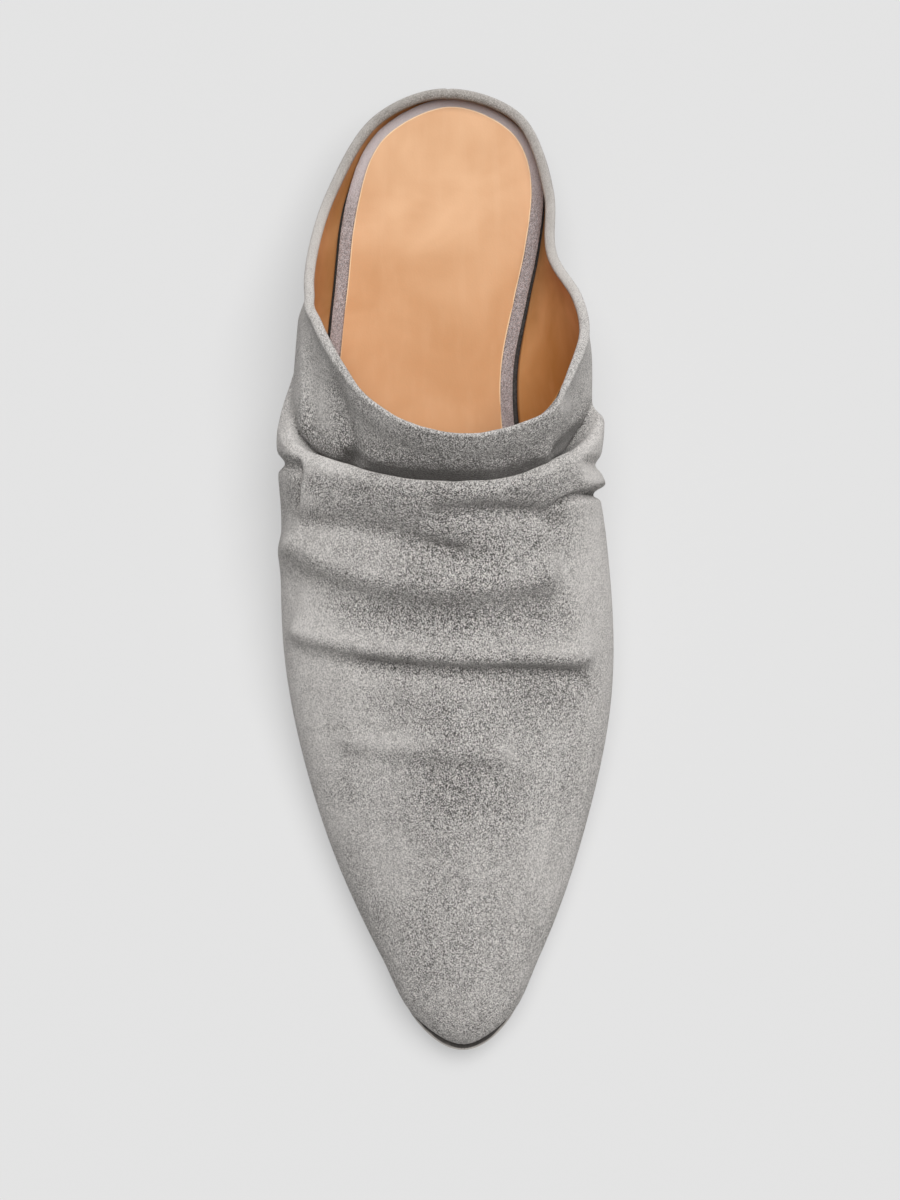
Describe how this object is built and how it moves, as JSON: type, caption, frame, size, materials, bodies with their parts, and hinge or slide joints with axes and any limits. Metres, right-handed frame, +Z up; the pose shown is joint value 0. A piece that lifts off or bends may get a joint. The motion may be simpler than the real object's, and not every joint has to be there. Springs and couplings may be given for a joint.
{
  "type": "suede mule",
  "caption": "Right-foot suede mule with a pointed toe, a slouched and folded vamp, a low back collar and a low block heel; a slip-on shoe that stands on its sole.",
  "frame": {"origin": "on the floor, under the middle of the shoe's bounding box", "axes": "+Y to the heel with the toe along -Y, +X to the inner (medial) side of the right foot, +Z up"},
  "size_m": [0.0956, 0.2687, 0.0841],
  "materials": {
    "upper_suede": "brushed grey suede with a short nap",
    "insole_suede": "grey suede wrapped over the footbed's edge",
    "sock_leather": "smooth tan leather, satin",
    "lining_leather": "smooth tan lining leather, matt",
    "outsole": "dark taupe rubber, matt",
    "heel": "dark taupe block, matt"
  },
  "bodies": {
    "root": {"outsole": "outsole", "heel": "heel", "insole": "insole_suede", "sock": "sock_leather", "upper": "upper_suede"}
  },
  "joints": []
}
